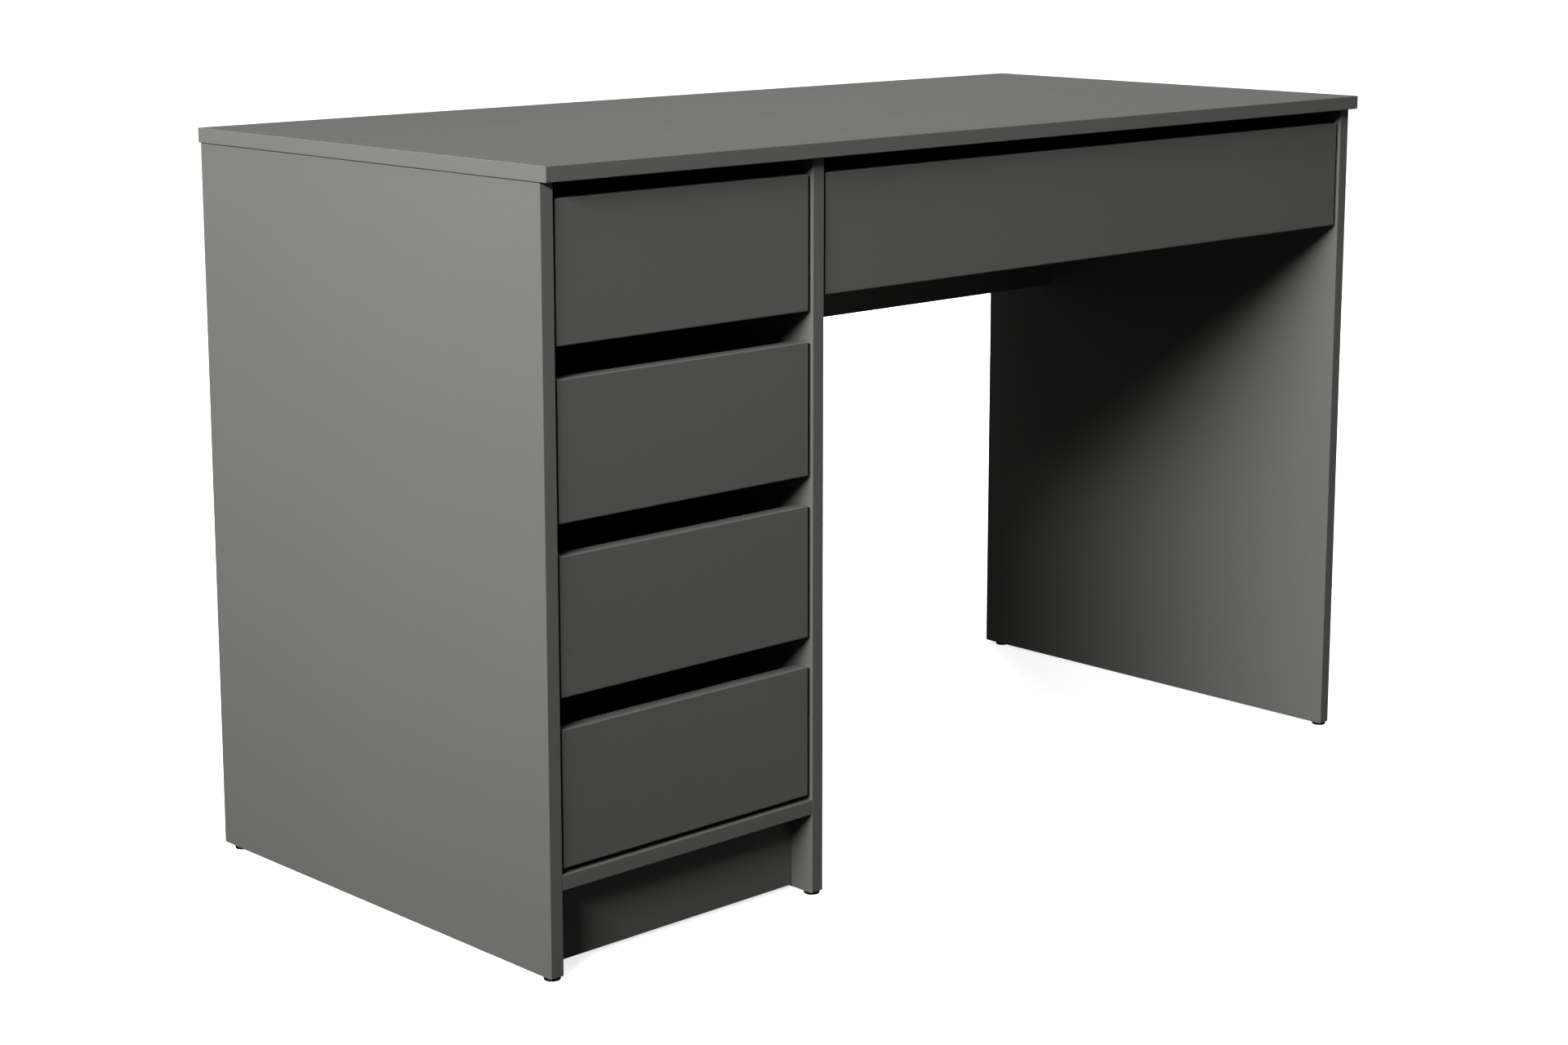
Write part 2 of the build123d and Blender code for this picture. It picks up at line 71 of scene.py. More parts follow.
# Which sides of each board are banded, the sides that run past their neighbours first, and which
# other sides have their sharp edges taken off
CARCASS_BOARDS = {
    "desk_top": ((FRONT, BACK, LEFT, RIGHT), ()),
    "left_side_panel": ((FRONT, BACK), (OVER,)),
    "right_side_panel": ((FRONT, BACK), (OVER,)),
    "divider_panel": ((FRONT, BACK), (OVER,)),
    "pedestal_bottom": ((FRONT,), ()),
    "plinth_board": ((UNDER,), ()),
    "rear_stretcher": ((UNDER,), ()),
}
FRONT_BANDS = (OVER, UNDER, LEFT, RIGHT)


# ---------------------------------------------------------------- sizes and colours


def length(name, description, default):
    return FloatProperty(name=name, description=description, default=default, unit="LENGTH", precision=5)


def angle(name, description, degrees):
    return FloatProperty(
        name=name, description=description, default=math.radians(degrees), subtype="ANGLE"
    )


def level(name, description, default, unit="NONE"):
    return FloatProperty(name=name, description=description, default=default, min=0, unit=unit)


def colour(name, description, default):
    return FloatVectorProperty(
        name=name, description=description, default=default, subtype="COLOR", min=0, max=1
    )


class DeskBoards(bpy.types.PropertyGroup):
    """Sizes of the boards' edges."""

    band: length("Edge band", "Thickness of the edge banding", 0.0013)
    arris: length("Arris", "Radius of the banded edges", 0.0009)
    front_arris: length("Front arris", "Radius of the banded edges of the drawer fronts", 0.00125)
    shadow_joint: length("Shadow joint", "Radius of the panels' top edges, under the desk top", 0.0017)
    seam: length("Seam", "Gap between a band and its board", 0.00005)
    box_arris: length("Box arris", "Radius of the edges of the drawer boxes", 0.0005)
    sheet_arris: length("Sheet arris", "Radius of the edges of the steel rails", 0.00018)


class DeskFittings(bpy.types.PropertyGroup):
    """Sizes of the screws, cams, rollers and glides."""

    recess: length("Recess", "Width of the cross recess in a screw", 0.0036)
    recess_slot: length("Recess slot", "Width of one arm of the recess", 0.0009)
    pitch: length("Thread pitch", "Distance between two turns of a screw's thread", 0.0018)
    thread: length("Thread height", "How far the thread stands out of its core", 0.0005)
    cam_radius: length("Cam radius", "Radius of a cam lock", 0.0075)
    cam_backset: length("Cam backset", "Front of a drawer side to the centre of its cams", 0.024)
    cam_depth: length("Cam depth", "Depth of a cam in a drawer side", 0.0095)
    cam_rim: length("Cam rim", "Width of the rim round the face of a cam", 0.0009)
    roller_crown: length("Roller crown", "How much the tread of a roller is crowned", 0.00025)
    roller_dish: length("Roller dish", "Depth of the dish in the sides of a roller", 0.0012)
    glide_edge: length("Glide edge", "Chamfer round the foot of a glide", 0.0006)
    ribs: IntProperty(name="Ribs", description="Ribs in the dish of a roller", default=8, min=3, max=24)


class DeskFinishes(bpy.types.PropertyGroup):
    """Colours of the finishes."""

    laminate: colour("Laminate", "Graphite melamine of the boards", (0.1, 0.0997, 0.095))
    band: colour("Edge band", "Graphite edge banding", (0.104, 0.1037, 0.099))
    # The drawer foil is darker than such boxes usually are, so that the gaps between the drawer fronts read
    # black. Its dark tone is partly the foil's own colour and partly painted shade.
    foil: colour("Drawer foil", "Foil of the drawer boxes", (0.06, 0.06, 0.058))
    hardboard: colour("Hardboard", "Lacquered face of the thin boards", (0.05, 0.049, 0.047))
    steel: colour("Rail steel", "Powder coat of the runners", (0.022, 0.022, 0.024))
    zinc: colour("Zinc", "Plating of the screws and bolts", (0.62, 0.62, 0.6))
    alloy: colour("Cam alloy", "Die-cast metal of the cam locks", (0.42, 0.42, 0.43))
    nylon: colour("Nylon", "Moulded rollers", (0.72, 0.72, 0.68))
    plastic: colour("Glide plastic", "Moulded glides", (0.005, 0.005, 0.005))
    beech: colour("Beech", "Wood of the dowels", (0.55, 0.36, 0.2))


class DeskStudio(bpy.types.PropertyGroup):
    """Camera, lights and floor."""

    camera: FloatVectorProperty(
        name="Camera",
        description="Place of the camera",
        default=(-2.1784, -2.2207, 0.9938),
        subtype="TRANSLATION",
    )
    heading: angle("Heading", "Turn of the camera from +Y", -43.78)
    dip: angle("Dip", "How far the camera looks down", 10.15)
    lens: FloatProperty(name="Lens", description="Focal length in millimetres", default=66.3, min=10)
    shift: FloatProperty(name="Shift", description="Vertical shift of the lens", default=-0.08)
    key: level("Key", "Power of the soft box on the left", 76, "POWER")
    rim: level("Rim", "Power of the soft box behind the desk", 120, "POWER")
    ceiling: level("Ceiling", "Strength of the light from above", 1.8)
    air: level("Air", "Strength of the light from all round", 0.06)
    floor: colour("Floor", "Pale floor", (0.86, 0.86, 0.86))
    floor_glow: level("Floor glow", "How brightly the floor shines by itself", 0.78)


# ---------------------------------------------------------------- shaders


class Value:
    """A node's output, on which sums and products can be written."""

    def __init__(self, shader, socket):
        self.shader = shader
        self.socket = socket

    def _math(self, operation, first, second):
        return self.shader.add("ShaderNodeMath", {"operation": operation}, {0: first, 1: second})

    def __add__(self, other):
        return self._math("ADD", self, other)

    def __sub__(self, other):
        return self._math("SUBTRACT", self, other)

    def __rsub__(self, other):
        return self._math("SUBTRACT", other, self)

    def __mul__(self, other):
        return self._math("MULTIPLY", self, other)

    __radd__ = __add__
    __rmul__ = __mul__


class Shader:
    """A material that is being put together."""

    def __init__(self, name):
        self.material = bpy.data.materials.new(name)
        self.material.use_nodes = True
        self.tree = self.material.node_tree
        self.principled = next(n for n in self.tree.nodes if n.type == "BSDF_PRINCIPLED")
        self.here = self.add("ShaderNodeTexCoord", {}, {}, "Object")

    def add(self, kind, settings, inputs, output=0):
        """Adds a node: its settings first, then the values or links of its sockets."""
        node = self.tree.nodes.new(kind)
        for name, setting in settings.items():
            if name == "stops":
                self._stops(node.color_ramp, setting)
            else:
                setattr(node, name, setting)
        for name, given in inputs.items():
            self._feed(node.inputs[name], given)
        return Value(self, node.outputs[output])

    def _stops(self, ramp, stops):
        for element, (place, tone) in zip(ramp.elements, (stops[0], stops[-1])):
            element.position = place
            element.color = (tone, tone, tone, 1)
        for place, tone in stops[1:-1]:
            ramp.elements.new(place).color = (tone, tone, tone, 1)

    def _feed(self, socket, given):
        if isinstance(given, Value):
            self.tree.links.new(given.socket, socket)
        else:
            socket.default_value = given

    def noise(self, size, detail=2.0, roughness=0.5, stretch=None):
        """Noise with features of a size in metres, stretched along the axes if wanted."""
        where = self.here
        if stretch:
            where = self.add("ShaderNodeMapping", {}, {"Vector": where, "Scale": stretch})
        inputs = {"Vector": where, "Scale": 1 / size, "Detail": detail, "Roughness": roughness}
        return self.add("ShaderNodeTexNoise", {}, inputs, "Fac")

    def cells(self, size):
        """The distance to the middle of the nearest of many cells of a size in metres."""
        inputs = {"Vector": self.here, "Scale": 1 / size}
        return self.add("ShaderNodeTexVoronoi", {}, inputs, "Distance")

    def ramp(self, factor, *stops):
        return self.add("ShaderNodeValToRGB", {"stops": stops}, {"Fac": factor})

    def toned(self, tint, tone):
        """A colour made lighter or darker by a value near one."""
        inputs = {0: tuple(tint), "Scale": tone}
        return self.add("ShaderNodeVectorMath", {"operation": "SCALE"}, inputs)

    def bump(self, height, depth, strength=1.0):
        return self.add("ShaderNodeBump", {}, {"Strength": strength, "Distance": depth, "Height": height})

    def finish(self, **sockets):
        """Sets the sockets of the surface, whose names are written with underscores."""
        for name, given in sockets.items():
            self._feed(self.principled.inputs[name.replace("_", " ")], given)
        return self.material


def laminate(colours):
    """Graphite melamine: a fine pearl emboss, faint clouds in the print and a matte sheen."""
    s = Shader("graphite_melamine")
    pearl = s.noise(0.0011, detail=3.0, roughness=0.6)
    print_grain = s.noise(0.004, detail=4.0, roughness=0.65, stretch=(1.0, 1.0, 0.45))
    cloud = s.noise(0.22)
    tone = 1.0 + (pearl - 0.5) * 0.16 + (print_grain - 0.5) * 0.07 + (cloud - 0.5) * 0.05
    handled = s.ramp(s.noise(0.05, detail=3.0), (0.45, 0.0), (0.75, 1.0))
    return s.finish(
        Base_Color=s.toned(colours.laminate, tone),
        Roughness=0.5 + (pearl - 0.5) * 0.12 - handled * 0.03,
        Normal=s.bump(pearl + print_grain * 0.4, 0.00004, 0.55),
        Specular_IOR_Level=0.42,
    )


def edge_band(colours):
    """Edge banding: a little smoother than the boards, with fine lines along its length."""
    s = Shader("graphite_edge_band")
    along = s.noise(0.0007, stretch=(0.06, 1.0, 1.0))
    pearl = s.noise(0.0009)
    tone = 1.0 + (along - 0.5) * 0.08 + (pearl - 0.5) * 0.06
    return s.finish(
        Base_Color=s.toned(colours.band, tone),
        Roughness=0.4 + (pearl - 0.5) * 0.1,
        Normal=s.bump(along + pearl, 0.00002, 0.4),
        Specular_IOR_Level=0.46,
    )


def drawer_foil(colours):
    """Foil of the drawer boxes, with a shallow linen emboss, in a dark tone that is partly painted shade
    for the gaps between the fronts.
    """
    s = Shader("drawer_foil")
    warp = s.noise(0.0012, detail=1.0, stretch=(1.0, 1.0, 0.12))
    weft = s.noise(0.0012, detail=1.0, stretch=(1.0, 0.12, 1.0))
    linen = (warp + weft) * 0.5
    tone = 1.0 + (linen - 0.5) * 0.2 + (s.noise(0.08) - 0.5) * 0.08
    return s.finish(
        Base_Color=s.toned(colours.foil, tone),
        Roughness=0.48 + (linen - 0.5) * 0.12,
        Normal=s.bump(linen, 0.00005, 0.5),
    )


def hardboard(colours):
    """Lacquered hardboard: pressed fibres under a thin dark coat."""
    s = Shader("lacquered_hardboard")
    fibres = s.noise(0.006, detail=6.0, roughness=0.75, stretch=(0.3, 1.0, 1.0))
    fleck = s.ramp(s.noise(0.0022, detail=4.0), (0.55, 0.0), (0.72, 1.0))
    tone = 0.92 + (fibres - 0.5) * 0.5 + fleck * 0.25
    return s.finish(
        Base_Color=s.toned(colours.hardboard, tone),
        Roughness=0.56 + (fibres - 0.5) * 0.2,
        Normal=s.bump(fibres, 0.00008, 0.5),
    )


def powder_coat(colours):
    """Black powder coat on sheet steel, with its orange peel."""
    s = Shader("black_powder_coat")
    peel = s.noise(0.0016)
    speck = s.noise(0.0004, detail=1.0)
    rubbed = s.ramp(s.noise(0.03, detail=5.0, stretch=(1.0, 0.15, 1.0)), (0.6, 0.0), (0.8, 1.0))
    return s.finish(
        Base_Color=s.toned(colours.steel, 1.0 + (speck - 0.5) * 0.3 + rubbed * 0.5),
        Roughness=0.42 + (peel - 0.5) * 0.15 - rubbed * 0.1,
        Normal=s.bump(peel, 0.00004, 0.6),
    )


def zinc_plate(colours):
    """Bright zinc plating with faint drawing lines and dull spots."""
    s = Shader("zinc_plate")
    lines = s.noise(0.0006, stretch=(1.0, 0.2, 0.2))
    dull = s.ramp(s.noise(0.003, detail=4.0), (0.5, 0.0), (0.7, 1.0))
    return s.finish(
        Base_Color=s.toned(colours.zinc, 1.0 + (lines - 0.5) * 0.2 - dull * 0.15),
        Metallic=1.0 - dull * 0.1,
        Roughness=0.28 + dull * 0.2 + (lines - 0.5) * 0.1,
        Normal=s.bump(lines, 0.00001, 0.4),
    )


def cast_alloy(colours):
    """Die-cast zinc alloy: a grey skin with small pits."""
    s = Shader("die_cast_alloy")
    skin = s.noise(0.0012, detail=5.0, roughness=0.6)
    pits = s.ramp(s.cells(0.0012), (0.0, 1.0), (0.22, 0.0))
    return s.finish(
        Base_Color=s.toned(colours.alloy, 1.0 + (skin - 0.5) * 0.4 - pits * 0.3),
        Metallic=0.95,
        Roughness=0.45 + (skin - 0.5) * 0.25,
        Normal=s.bump(skin - pits * 0.6, 0.00005, 0.7),
    )


def moulded_nylon(colours):
    """Off-white nylon with faint flow marks."""
    s = Shader("moulded_nylon")
    flow = s.noise(0.004, detail=3.0)
    return s.finish(
        Base_Color=s.toned(colours.nylon, 1.0 + (flow - 0.5) * 0.12),
        Roughness=0.38 + (flow - 0.5) * 0.15,
        Normal=s.bump(s.noise(0.0006), 0.00001, 0.4),
    )


def glide_plastic(colours):
    """Black plastic with a fine spark-eroded grain."""
    s = Shader("black_glide_plastic")
    grain = s.noise(0.0005, detail=3.0)
    return s.finish(
        Base_Color=s.toned(colours.plastic, 1.0 + (grain - 0.5) * 0.5),
        Roughness=0.7 + (grain - 0.5) * 0.2,
        Specular_IOR_Level=0.2,
        Normal=s.bump(grain, 0.00004, 0.6),
    )


def beech_wood(colours):
    """Beech with short dark flecks along the grain."""
    s = Shader("beech_wood")
    grain = s.noise(0.0025, detail=4.0, stretch=(0.3, 0.3, 1.0))
    fleck = s.ramp(s.noise(0.0012), (0.6, 0.0), (0.7, 1.0))
    return s.finish(
        Base_Color=s.toned(colours.beech, 1.0 + (grain - 0.5) * 0.5 - fleck * 0.3),
        Roughness=0.6 + (grain - 0.5) * 0.2,
        Normal=s.bump(grain, 0.0001, 0.5),
    )


FINISHES = {
    "laminate": laminate,
    "band": edge_band,
    "foil": drawer_foil,
    "hardboard": hardboard,
    "steel": powder_coat,
    "zinc": zinc_plate,
    "alloy": cast_alloy,
    "nylon": moulded_nylon,
    "plastic": glide_plastic,
    "beech": beech_wood,
}
made_finishes = {}


def finish(name):
    """The material of a finish, made the first time that it is asked for."""
    if name not in made_finishes:
        made_finishes[name] = FINISHES[name](bpy.context.scene.desk_finishes)
    return made_finishes[name]


# ---------------------------------------------------------------- meshes

WELD = 1e-6                       # vertices nearer than this are one
FLAT = math.radians(0.5)
SMOOTH = math.radians(35)
ARRIS_STEPS = 4
SHEET_STEPS = 2
SHEET_CORNER = math.radians(60)   # the edges of a sheet that turn by more are eased
CAD_ROUNDING = 0.00085            # the CAD boards' edges are rounded by a little less than this
FASTENER_END = 0.05               # share of a fastener's length that counts as its end


def along(side):
    """The outward direction of a side."""
    axis, sign = side
    return Vector([sign if i == axis else 0 for i in range(3)])


def body_of(node):
    """The body that a CAD node rides on."""
    return next(b for b, names in frame["record"]["behaviour"]["bodies"].items() if node in names)


def slot_of(node):
    """The record's material slot of a CAD node."""
    return next(p["material_slot"] for p in frame["record"]["subparts"] if p["node"] == node)


def opened(piece):
    """A piece's mesh, for editing."""
    bm = bmesh.new()
    bm.from_mesh(piece.data)
    return bm


def welded(node):
    """A CAD node's loose triangles as closed solids."""
    bm = opened(frame["nodes"][node])
    bmesh.ops.remove_doubles(bm, verts=bm.verts, dist=WELD)
    return bm


def cleaned(node):
    """A CAD node's solid as a closed mesh with whole flat faces."""
    bm = welded(node)
    bmesh.ops.dissolve_limit(bm, angle_limit=FLAT, verts=bm.verts, edges=bm.edges)
    return bm


def squared(bm, node):
    """Moves the rounded edges of a CAD board back out to sharp ones, so that they can be rounded finely."""
    low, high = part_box(node)
    for vert in bm.verts:
        near = [
            (axis, end)
            for axis in range(3)
            for end in (low[axis], high[axis])
            if abs(vert.co[axis] - end) < CAD_ROUNDING
        ]
        if len({axis for axis, end in near}) > 1:
            for axis, end in near:
                vert.co[axis] = end
    bmesh.ops.remove_doubles(bm, verts=bm.verts, dist=WELD)
    bmesh.ops.dissolve_degenerate(bm, edges=bm.edges, dist=WELD)
    bmesh.ops.dissolve_limit(bm, angle_limit=FLAT, verts=bm.verts, edges=bm.edges)


def round_side(bm, node, sides, radius):
    """Rounds every outer edge of the given sides of a board."""
    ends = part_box(node)

    def lies_on(edge, axis, place):
        return all(abs(vert.co[axis] - place) < WELD for vert in edge.verts)

    def is_outer(edge):
        for axis, sign in sides:
            if lies_on(edge, axis, ends[sign > 0][axis]):
                others = [(other, end[other]) for other in range(3) for end in ends if other != axis]
                if any(lies_on(edge, other, place) for other, place in others):
                    return True
        return False

    bmesh.ops.bevel(
        bm,
        geom=[edge for edge in bm.edges if is_outer(edge)],
        offset=radius,
        segments=ARRIS_STEPS,
        profile=0.5,
        affect="EDGES",
        clamp_overlap=True,
    )


def sliced(source, side, place):
    """The part of a closed mesh that lies beyond a plane, with the cut closed."""
    bm = source.copy()
    normal = along(side)
    everything = bm.verts[:] + bm.edges[:] + bm.faces[:]
    origin = Vector([place if i == side[0] else 0 for i in range(3)])
    cut = bmesh.ops.bisect_plane(
        bm, geom=everything, dist=WELD, plane_co=origin, plane_no=normal, clear_inner=True
    )
    rim = [e for e in cut["geom_cut"] if isinstance(e, bmesh.types.BMEdge)]
    bmesh.ops.holes_fill(bm, edges=rim, sides=0)
    bmesh.ops.recalc_face_normals(bm, faces=bm.faces)
    return bm


def joined(meshes):
    """One mesh of several, which are freed."""
    whole = bmesh.new()
    for bm in meshes:
        part = bpy.data.meshes.new("part")
        bm.to_mesh(part)
        bm.free()
        whole.from_mesh(part)
        bpy.data.meshes.remove(part)
    return whole


def smoothed(bm):
    """Smooth faces between sharp edges."""
    for face in bm.faces:
        face.smooth = True
    for edge in bm.edges:
        edge.smooth = edge.is_manifold and edge.calc_face_angle(0) < SMOOTH


def evaluated(piece):
    """Turns a piece and its modifiers into a plain mesh."""
    depsgraph = bpy.context.evaluated_depsgraph_get()
    mesh = bpy.data.meshes.new_from_object(piece.evaluated_get(depsgraph), depsgraph=depsgraph)
    piece.modifiers.clear()
    old = piece.data
    piece.data = mesh
    bpy.data.meshes.remove(old)
    mesh.name = piece.name


def new_object(name, bm):
    mesh = bpy.data.meshes.new(name)
    bm.to_mesh(mesh)
    bm.free()
    piece = bpy.data.objects.new(name, mesh)
    bpy.context.scene.collection.objects.link(piece)
    return piece


def discard(piece):
    """Removes a helper object and its mesh."""
    mesh = piece.data
    bpy.data.objects.remove(piece)
    bpy.data.meshes.remove(mesh)


def place_piece(name, bm, node, finish_name, replaces=(), eased=0.0):
    """A finished piece from a mesh, riding with a CAD node's body and standing for the named nodes."""
    smoothed(bm)
    piece = new_object(name, bm)
    piece.data.materials.append(finish(finish_name))
    if eased:
        bevel = piece.modifiers.new("eased", "BEVEL")
        bevel.width = eased
        bevel.segments = SHEET_STEPS
        bevel.limit_method = "ANGLE"
        bevel.angle_limit = SHEET_CORNER
    # flat faces stay flat beside their rounded edges
    weights = piece.modifiers.new("weights", "WEIGHTED_NORMAL")
    weights.keep_sharp = True
    evaluated(piece)
    return settle_piece(piece, node, replaces)


def settle_piece(piece, node, replaces=()):
    """Parents a piece to its CAD node's body and hides the nodes that it stands for; the node's slot is
    looked up but not used.
    """
    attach(piece, body_of(node))
    slot_of(node)
    if replaces:
        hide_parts(*replaces)
    return piece


def banded_board(node, sides, eased=()):
    """A board and, as a second piece, the banding on its sides."""
    sizes = bpy.context.scene.desk_boards
    rest = cleaned(node)
    squared(rest, node)
    if eased:
        round_side(rest, node, eased, sizes.shadow_joint)
    arris = sizes.front_arris if sides == FRONT_BANDS else sizes.arris
    round_side(rest, node, sides, arris)
    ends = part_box(node)
    bands = []
    for axis, sign in sides:
        face = ends[sign > 0][axis]
        bands.append(sliced(rest, (axis, sign), face - sign * sizes.band))
        inner = sliced(rest, (axis, -sign), face - sign * (sizes.band + sizes.seam))
        rest.free()
        rest = inner
    place_piece(f"{node}_core", rest, node, "laminate", replaces=[node])
    place_piece(f"{node}_banding", joined(bands), node, "band")


def plain_board(node, finish_name, radius):
    """A board with no banding and eased edges."""
    bm = cleaned(node)
    round_side(bm, node, ALL_SIDES, radius)
    return place_piece(f"{node}_panel", bm, node, finish_name, replaces=[node])


def islands(node):
    """The vertices of each separate solid of a CAD node, in the order of its mesh."""
    bm = welded(node)
    found = []
    seen = set()
    for start in bm.verts:
        if start in seen:
            continue
        seen.add(start)
        front = [start]
        solid = []
        while front:
            vert = front.pop()
            solid.append(vert.co.copy())
            for edge in vert.link_edges:
                other = edge.other_vert(vert)
                if other not in seen:
                    seen.add(other)
                    front.append(other)
        found.append(solid)
    bm.free()
    return found


def low_high(points):
    low = Vector([min(p[i] for p in points) for i in range(3)])
    high = Vector([max(p[i] for p in points) for i in range(3)])
    return low, high


def fastener_places(node):
    """For each fastener of a node: the outer end of its head, the way it points, its length and radii.

    The head is the wider end, and the radii are those of the head and of the other end."""
    found = []
    for points in islands(node):
        low, high = low_high(points)
        size = high - low
        axis = max(range(3), key=lambda i: size[i])
        middle = (low + high) / 2

        def reach(near_low):
            """The largest radius in one end of the fastener."""
            end = low[axis] if near_low else high[axis]
            near = [p for p in points if abs(p[axis] - end) < size[axis] * FASTENER_END]
            return max((p - middle - along((axis, 1)) * (p - middle)[axis]).length for p in near)

        low_radius, high_radius = reach(True), reach(False)
        sign = 1 if low_radius >= high_radius else -1
        head = middle.copy()
        head[axis] = low[axis] if sign > 0 else high[axis]
        narrow, wide = sorted((low_radius, high_radius))
        found.append((head, along((axis, sign)), size[axis], wide, narrow))
    return found


# ---------------------------------------------------------------- geometry nodes


class Tree:
    """A geometry node tree that is being put together."""

    def __init__(self, name, sizes):
        """sizes maps the name of each input to its default; self.sizes holds their sockets."""
        self.group = bpy.data.node_groups.new(name, "GeometryNodeTree")
        side = self.group.interface
        side.new_socket("Geometry", in_out="INPUT", socket_type="NodeSocketGeometry")
        for title, default in sizes.items():
            kind = "NodeSocketInt" if isinstance(default, int) else "NodeSocketFloat"
            side.new_socket(title, in_out="INPUT", socket_type=kind).default_value = default
        side.new_socket("Material", in_out="INPUT", socket_type="NodeSocketMaterial")
        side.new_socket("Geometry", in_out="OUTPUT", socket_type="NodeSocketGeometry")
        self.given = self.group.nodes.new("NodeGroupInput").outputs
        self.result = self.group.nodes.new("NodeGroupOutput").inputs["Geometry"]
        self.sizes = [self.given[title] for title in sizes]

    def add(self, kind, settings=None, inputs=None, output=0):
        """Adds a node and gives the wanted output; inputs hold values or outputs of other nodes."""
        node = self.group.nodes.new(kind)
        for name, setting in (settings or {}).items():
            setattr(node, name, setting)
        for name, value in (inputs or {}).items():
            for one in value if isinstance(value, list) else [value]:
                if isinstance(one, bpy.types.NodeSocket):
                    self.group.links.new(one, node.inputs[name])
                else:
                    node.inputs[name].default_value = one
        return node.outputs[output]

    def math(self, operation, first, second):
        return self.add("ShaderNodeMath", {"operation": operation}, {0: first, 1: second})

    def times(self, first, second):
        return self.math("MULTIPLY", first, second)

    def minus(self, first, second):
        return self.math("SUBTRACT", first, second)

    def size(self, x, y, z):
        return self.add("ShaderNodeCombineXYZ", inputs={"X": x, "Y": y, "Z": z})

    def moved(self, geometry, offset):
        """Geometry moved along Z."""
        shift = self.size(0.0, 0.0, offset)
        return self.add("GeometryNodeTransform", inputs={"Geometry": geometry, "Translation": shift})

    def sunk(self, geometry, depth):
        return self.moved(geometry, self.times(depth, -1.0))

    def drum(self, steps, radius, depth, bottom_radius=None):
        """A closed drum from z = 0 down to -depth: its upper radius and, if it tapers, its lower."""
        inputs = {"Vertices": steps, "Radius Top": radius, "Depth": depth}
        inputs["Radius Bottom"] = radius if bottom_radius is None else bottom_radius
        drum = self.add("GeometryNodeMeshCone", {"fill_type": "NGON"}, inputs)
        return self.sunk(drum, depth)

    def cross(self, width, arm, depth):
        """Two crossed bars, sunk to a depth below z = 0 and standing a little above it."""
        tall = self.times(depth, 2.0)
        return [self.bar(width, arm, tall), self.bar(arm, width, tall)]

    def bar(self, x, y, z):
        return self.add("GeometryNodeMeshCube", inputs={"Size": self.size(x, y, z)})

    def less(self, body, cutters):
        settings = {"operation": "DIFFERENCE", "solver": "EXACT"}
        return self.add("GeometryNodeMeshBoolean", settings, {0: body, 1: cutters})

    def merged(self, *parts):
        settings = {"operation": "UNION", "solver": "EXACT"}
        return self.add("GeometryNodeMeshBoolean", settings, {1: list(parts)})

    def attribute(self, name, kind):
        return self.add("GeometryNodeInputNamedAttribute", {"data_type": kind}, {"Name": name})

    def set_out(self, pattern):
        """Ends the tree: the pattern stands on every point, its Z along the point's outward way."""
        way = self.attribute("outward", "FLOAT_VECTOR")
        turn = self.add("FunctionNodeAlignRotationToVector", {"axis": "Z"}, {"Vector": way})
        spin = self.attribute("spin", "FLOAT")
        about = self.add("FunctionNodeAxisAngleToRotation", inputs={"Axis": (0, 0, 1), "Angle": spin})
        turned = self.add(
            "FunctionNodeRotateRotation",
            {"rotation_space": "LOCAL"},
            {"Rotation": turn, "Rotate By": about},
        )
        copies = self.add(
            "GeometryNodeInstanceOnPoints",
            inputs={"Points": self.given["Geometry"], "Instance": pattern, "Rotation": turned},
        )
        real = self.add("GeometryNodeRealizeInstances", inputs={"Geometry": copies})
        dressed = self.add(
            "GeometryNodeSetMaterial", inputs={"Geometry": real, "Material": self.given["Material"]}
        )
        self.group.links.new(dressed, self.result)
        return self.group


HEAD_SIDES = 24        # sides of each turned shape in the trees
SHANK_SIDES = 16
THREAD_SIDES = 12
CAM_SIDES = 48
ROD_SIDES = 32
FLUTE_SIDES = 6


def screw_tree():
    """A screw: a head with a cross recess, a core and a helical thread that ends in a point."""
    tree = Tree("desk_screw", {
        "Head radius": 0.0036, "Head depth": 0.0012, "Head base": 0.002, "Core radius": 0.0015,
        "Length": 0.011, "Pitch": 0.0018, "Thread": 0.0005, "Recess": 0.0036, "Slot": 0.0009,
    })
    wide, depth, base, core, long, pitch, height, recess, slot = tree.sizes
    recess_depth = tree.times(recess, 0.45)
    head = tree.less(tree.drum(HEAD_SIDES, wide, depth, base), tree.cross(recess, slot, recess_depth))
    point = tree.times(core, 3.0)
    tip_radius = tree.times(core, 0.15)
    shank_length = tree.minus(tree.minus(long, depth), point)
    shank = tree.sunk(tree.drum(SHANK_SIDES, core, shank_length), depth)
    tip = tree.moved(tree.drum(SHANK_SIDES, core, point, tip_radius), tree.minus(point, long))
    helix = tree.add(
        "GeometryNodeCurveSpiral",
        inputs={
            "Resolution": THREAD_SIDES,
            "Rotations": tree.math("DIVIDE", shank_length, pitch),
            "Start Radius": core,
            "End Radius": core,
            "Height": shank_length,
        },
    )
    ridge = {"Resolution": 3, "Radius": height}
    ridge = tree.add("GeometryNodeCurvePrimitiveCircle", {"mode": "RADIUS"}, ridge)
    thread = {"Curve": helix, "Profile Curve": ridge, "Fill Caps": True}
    thread = tree.moved(tree.add("GeometryNodeCurveToMesh", inputs=thread), tree.minus(point, long))
    return tree.set_out(tree.merged(head, shank, tip, thread))


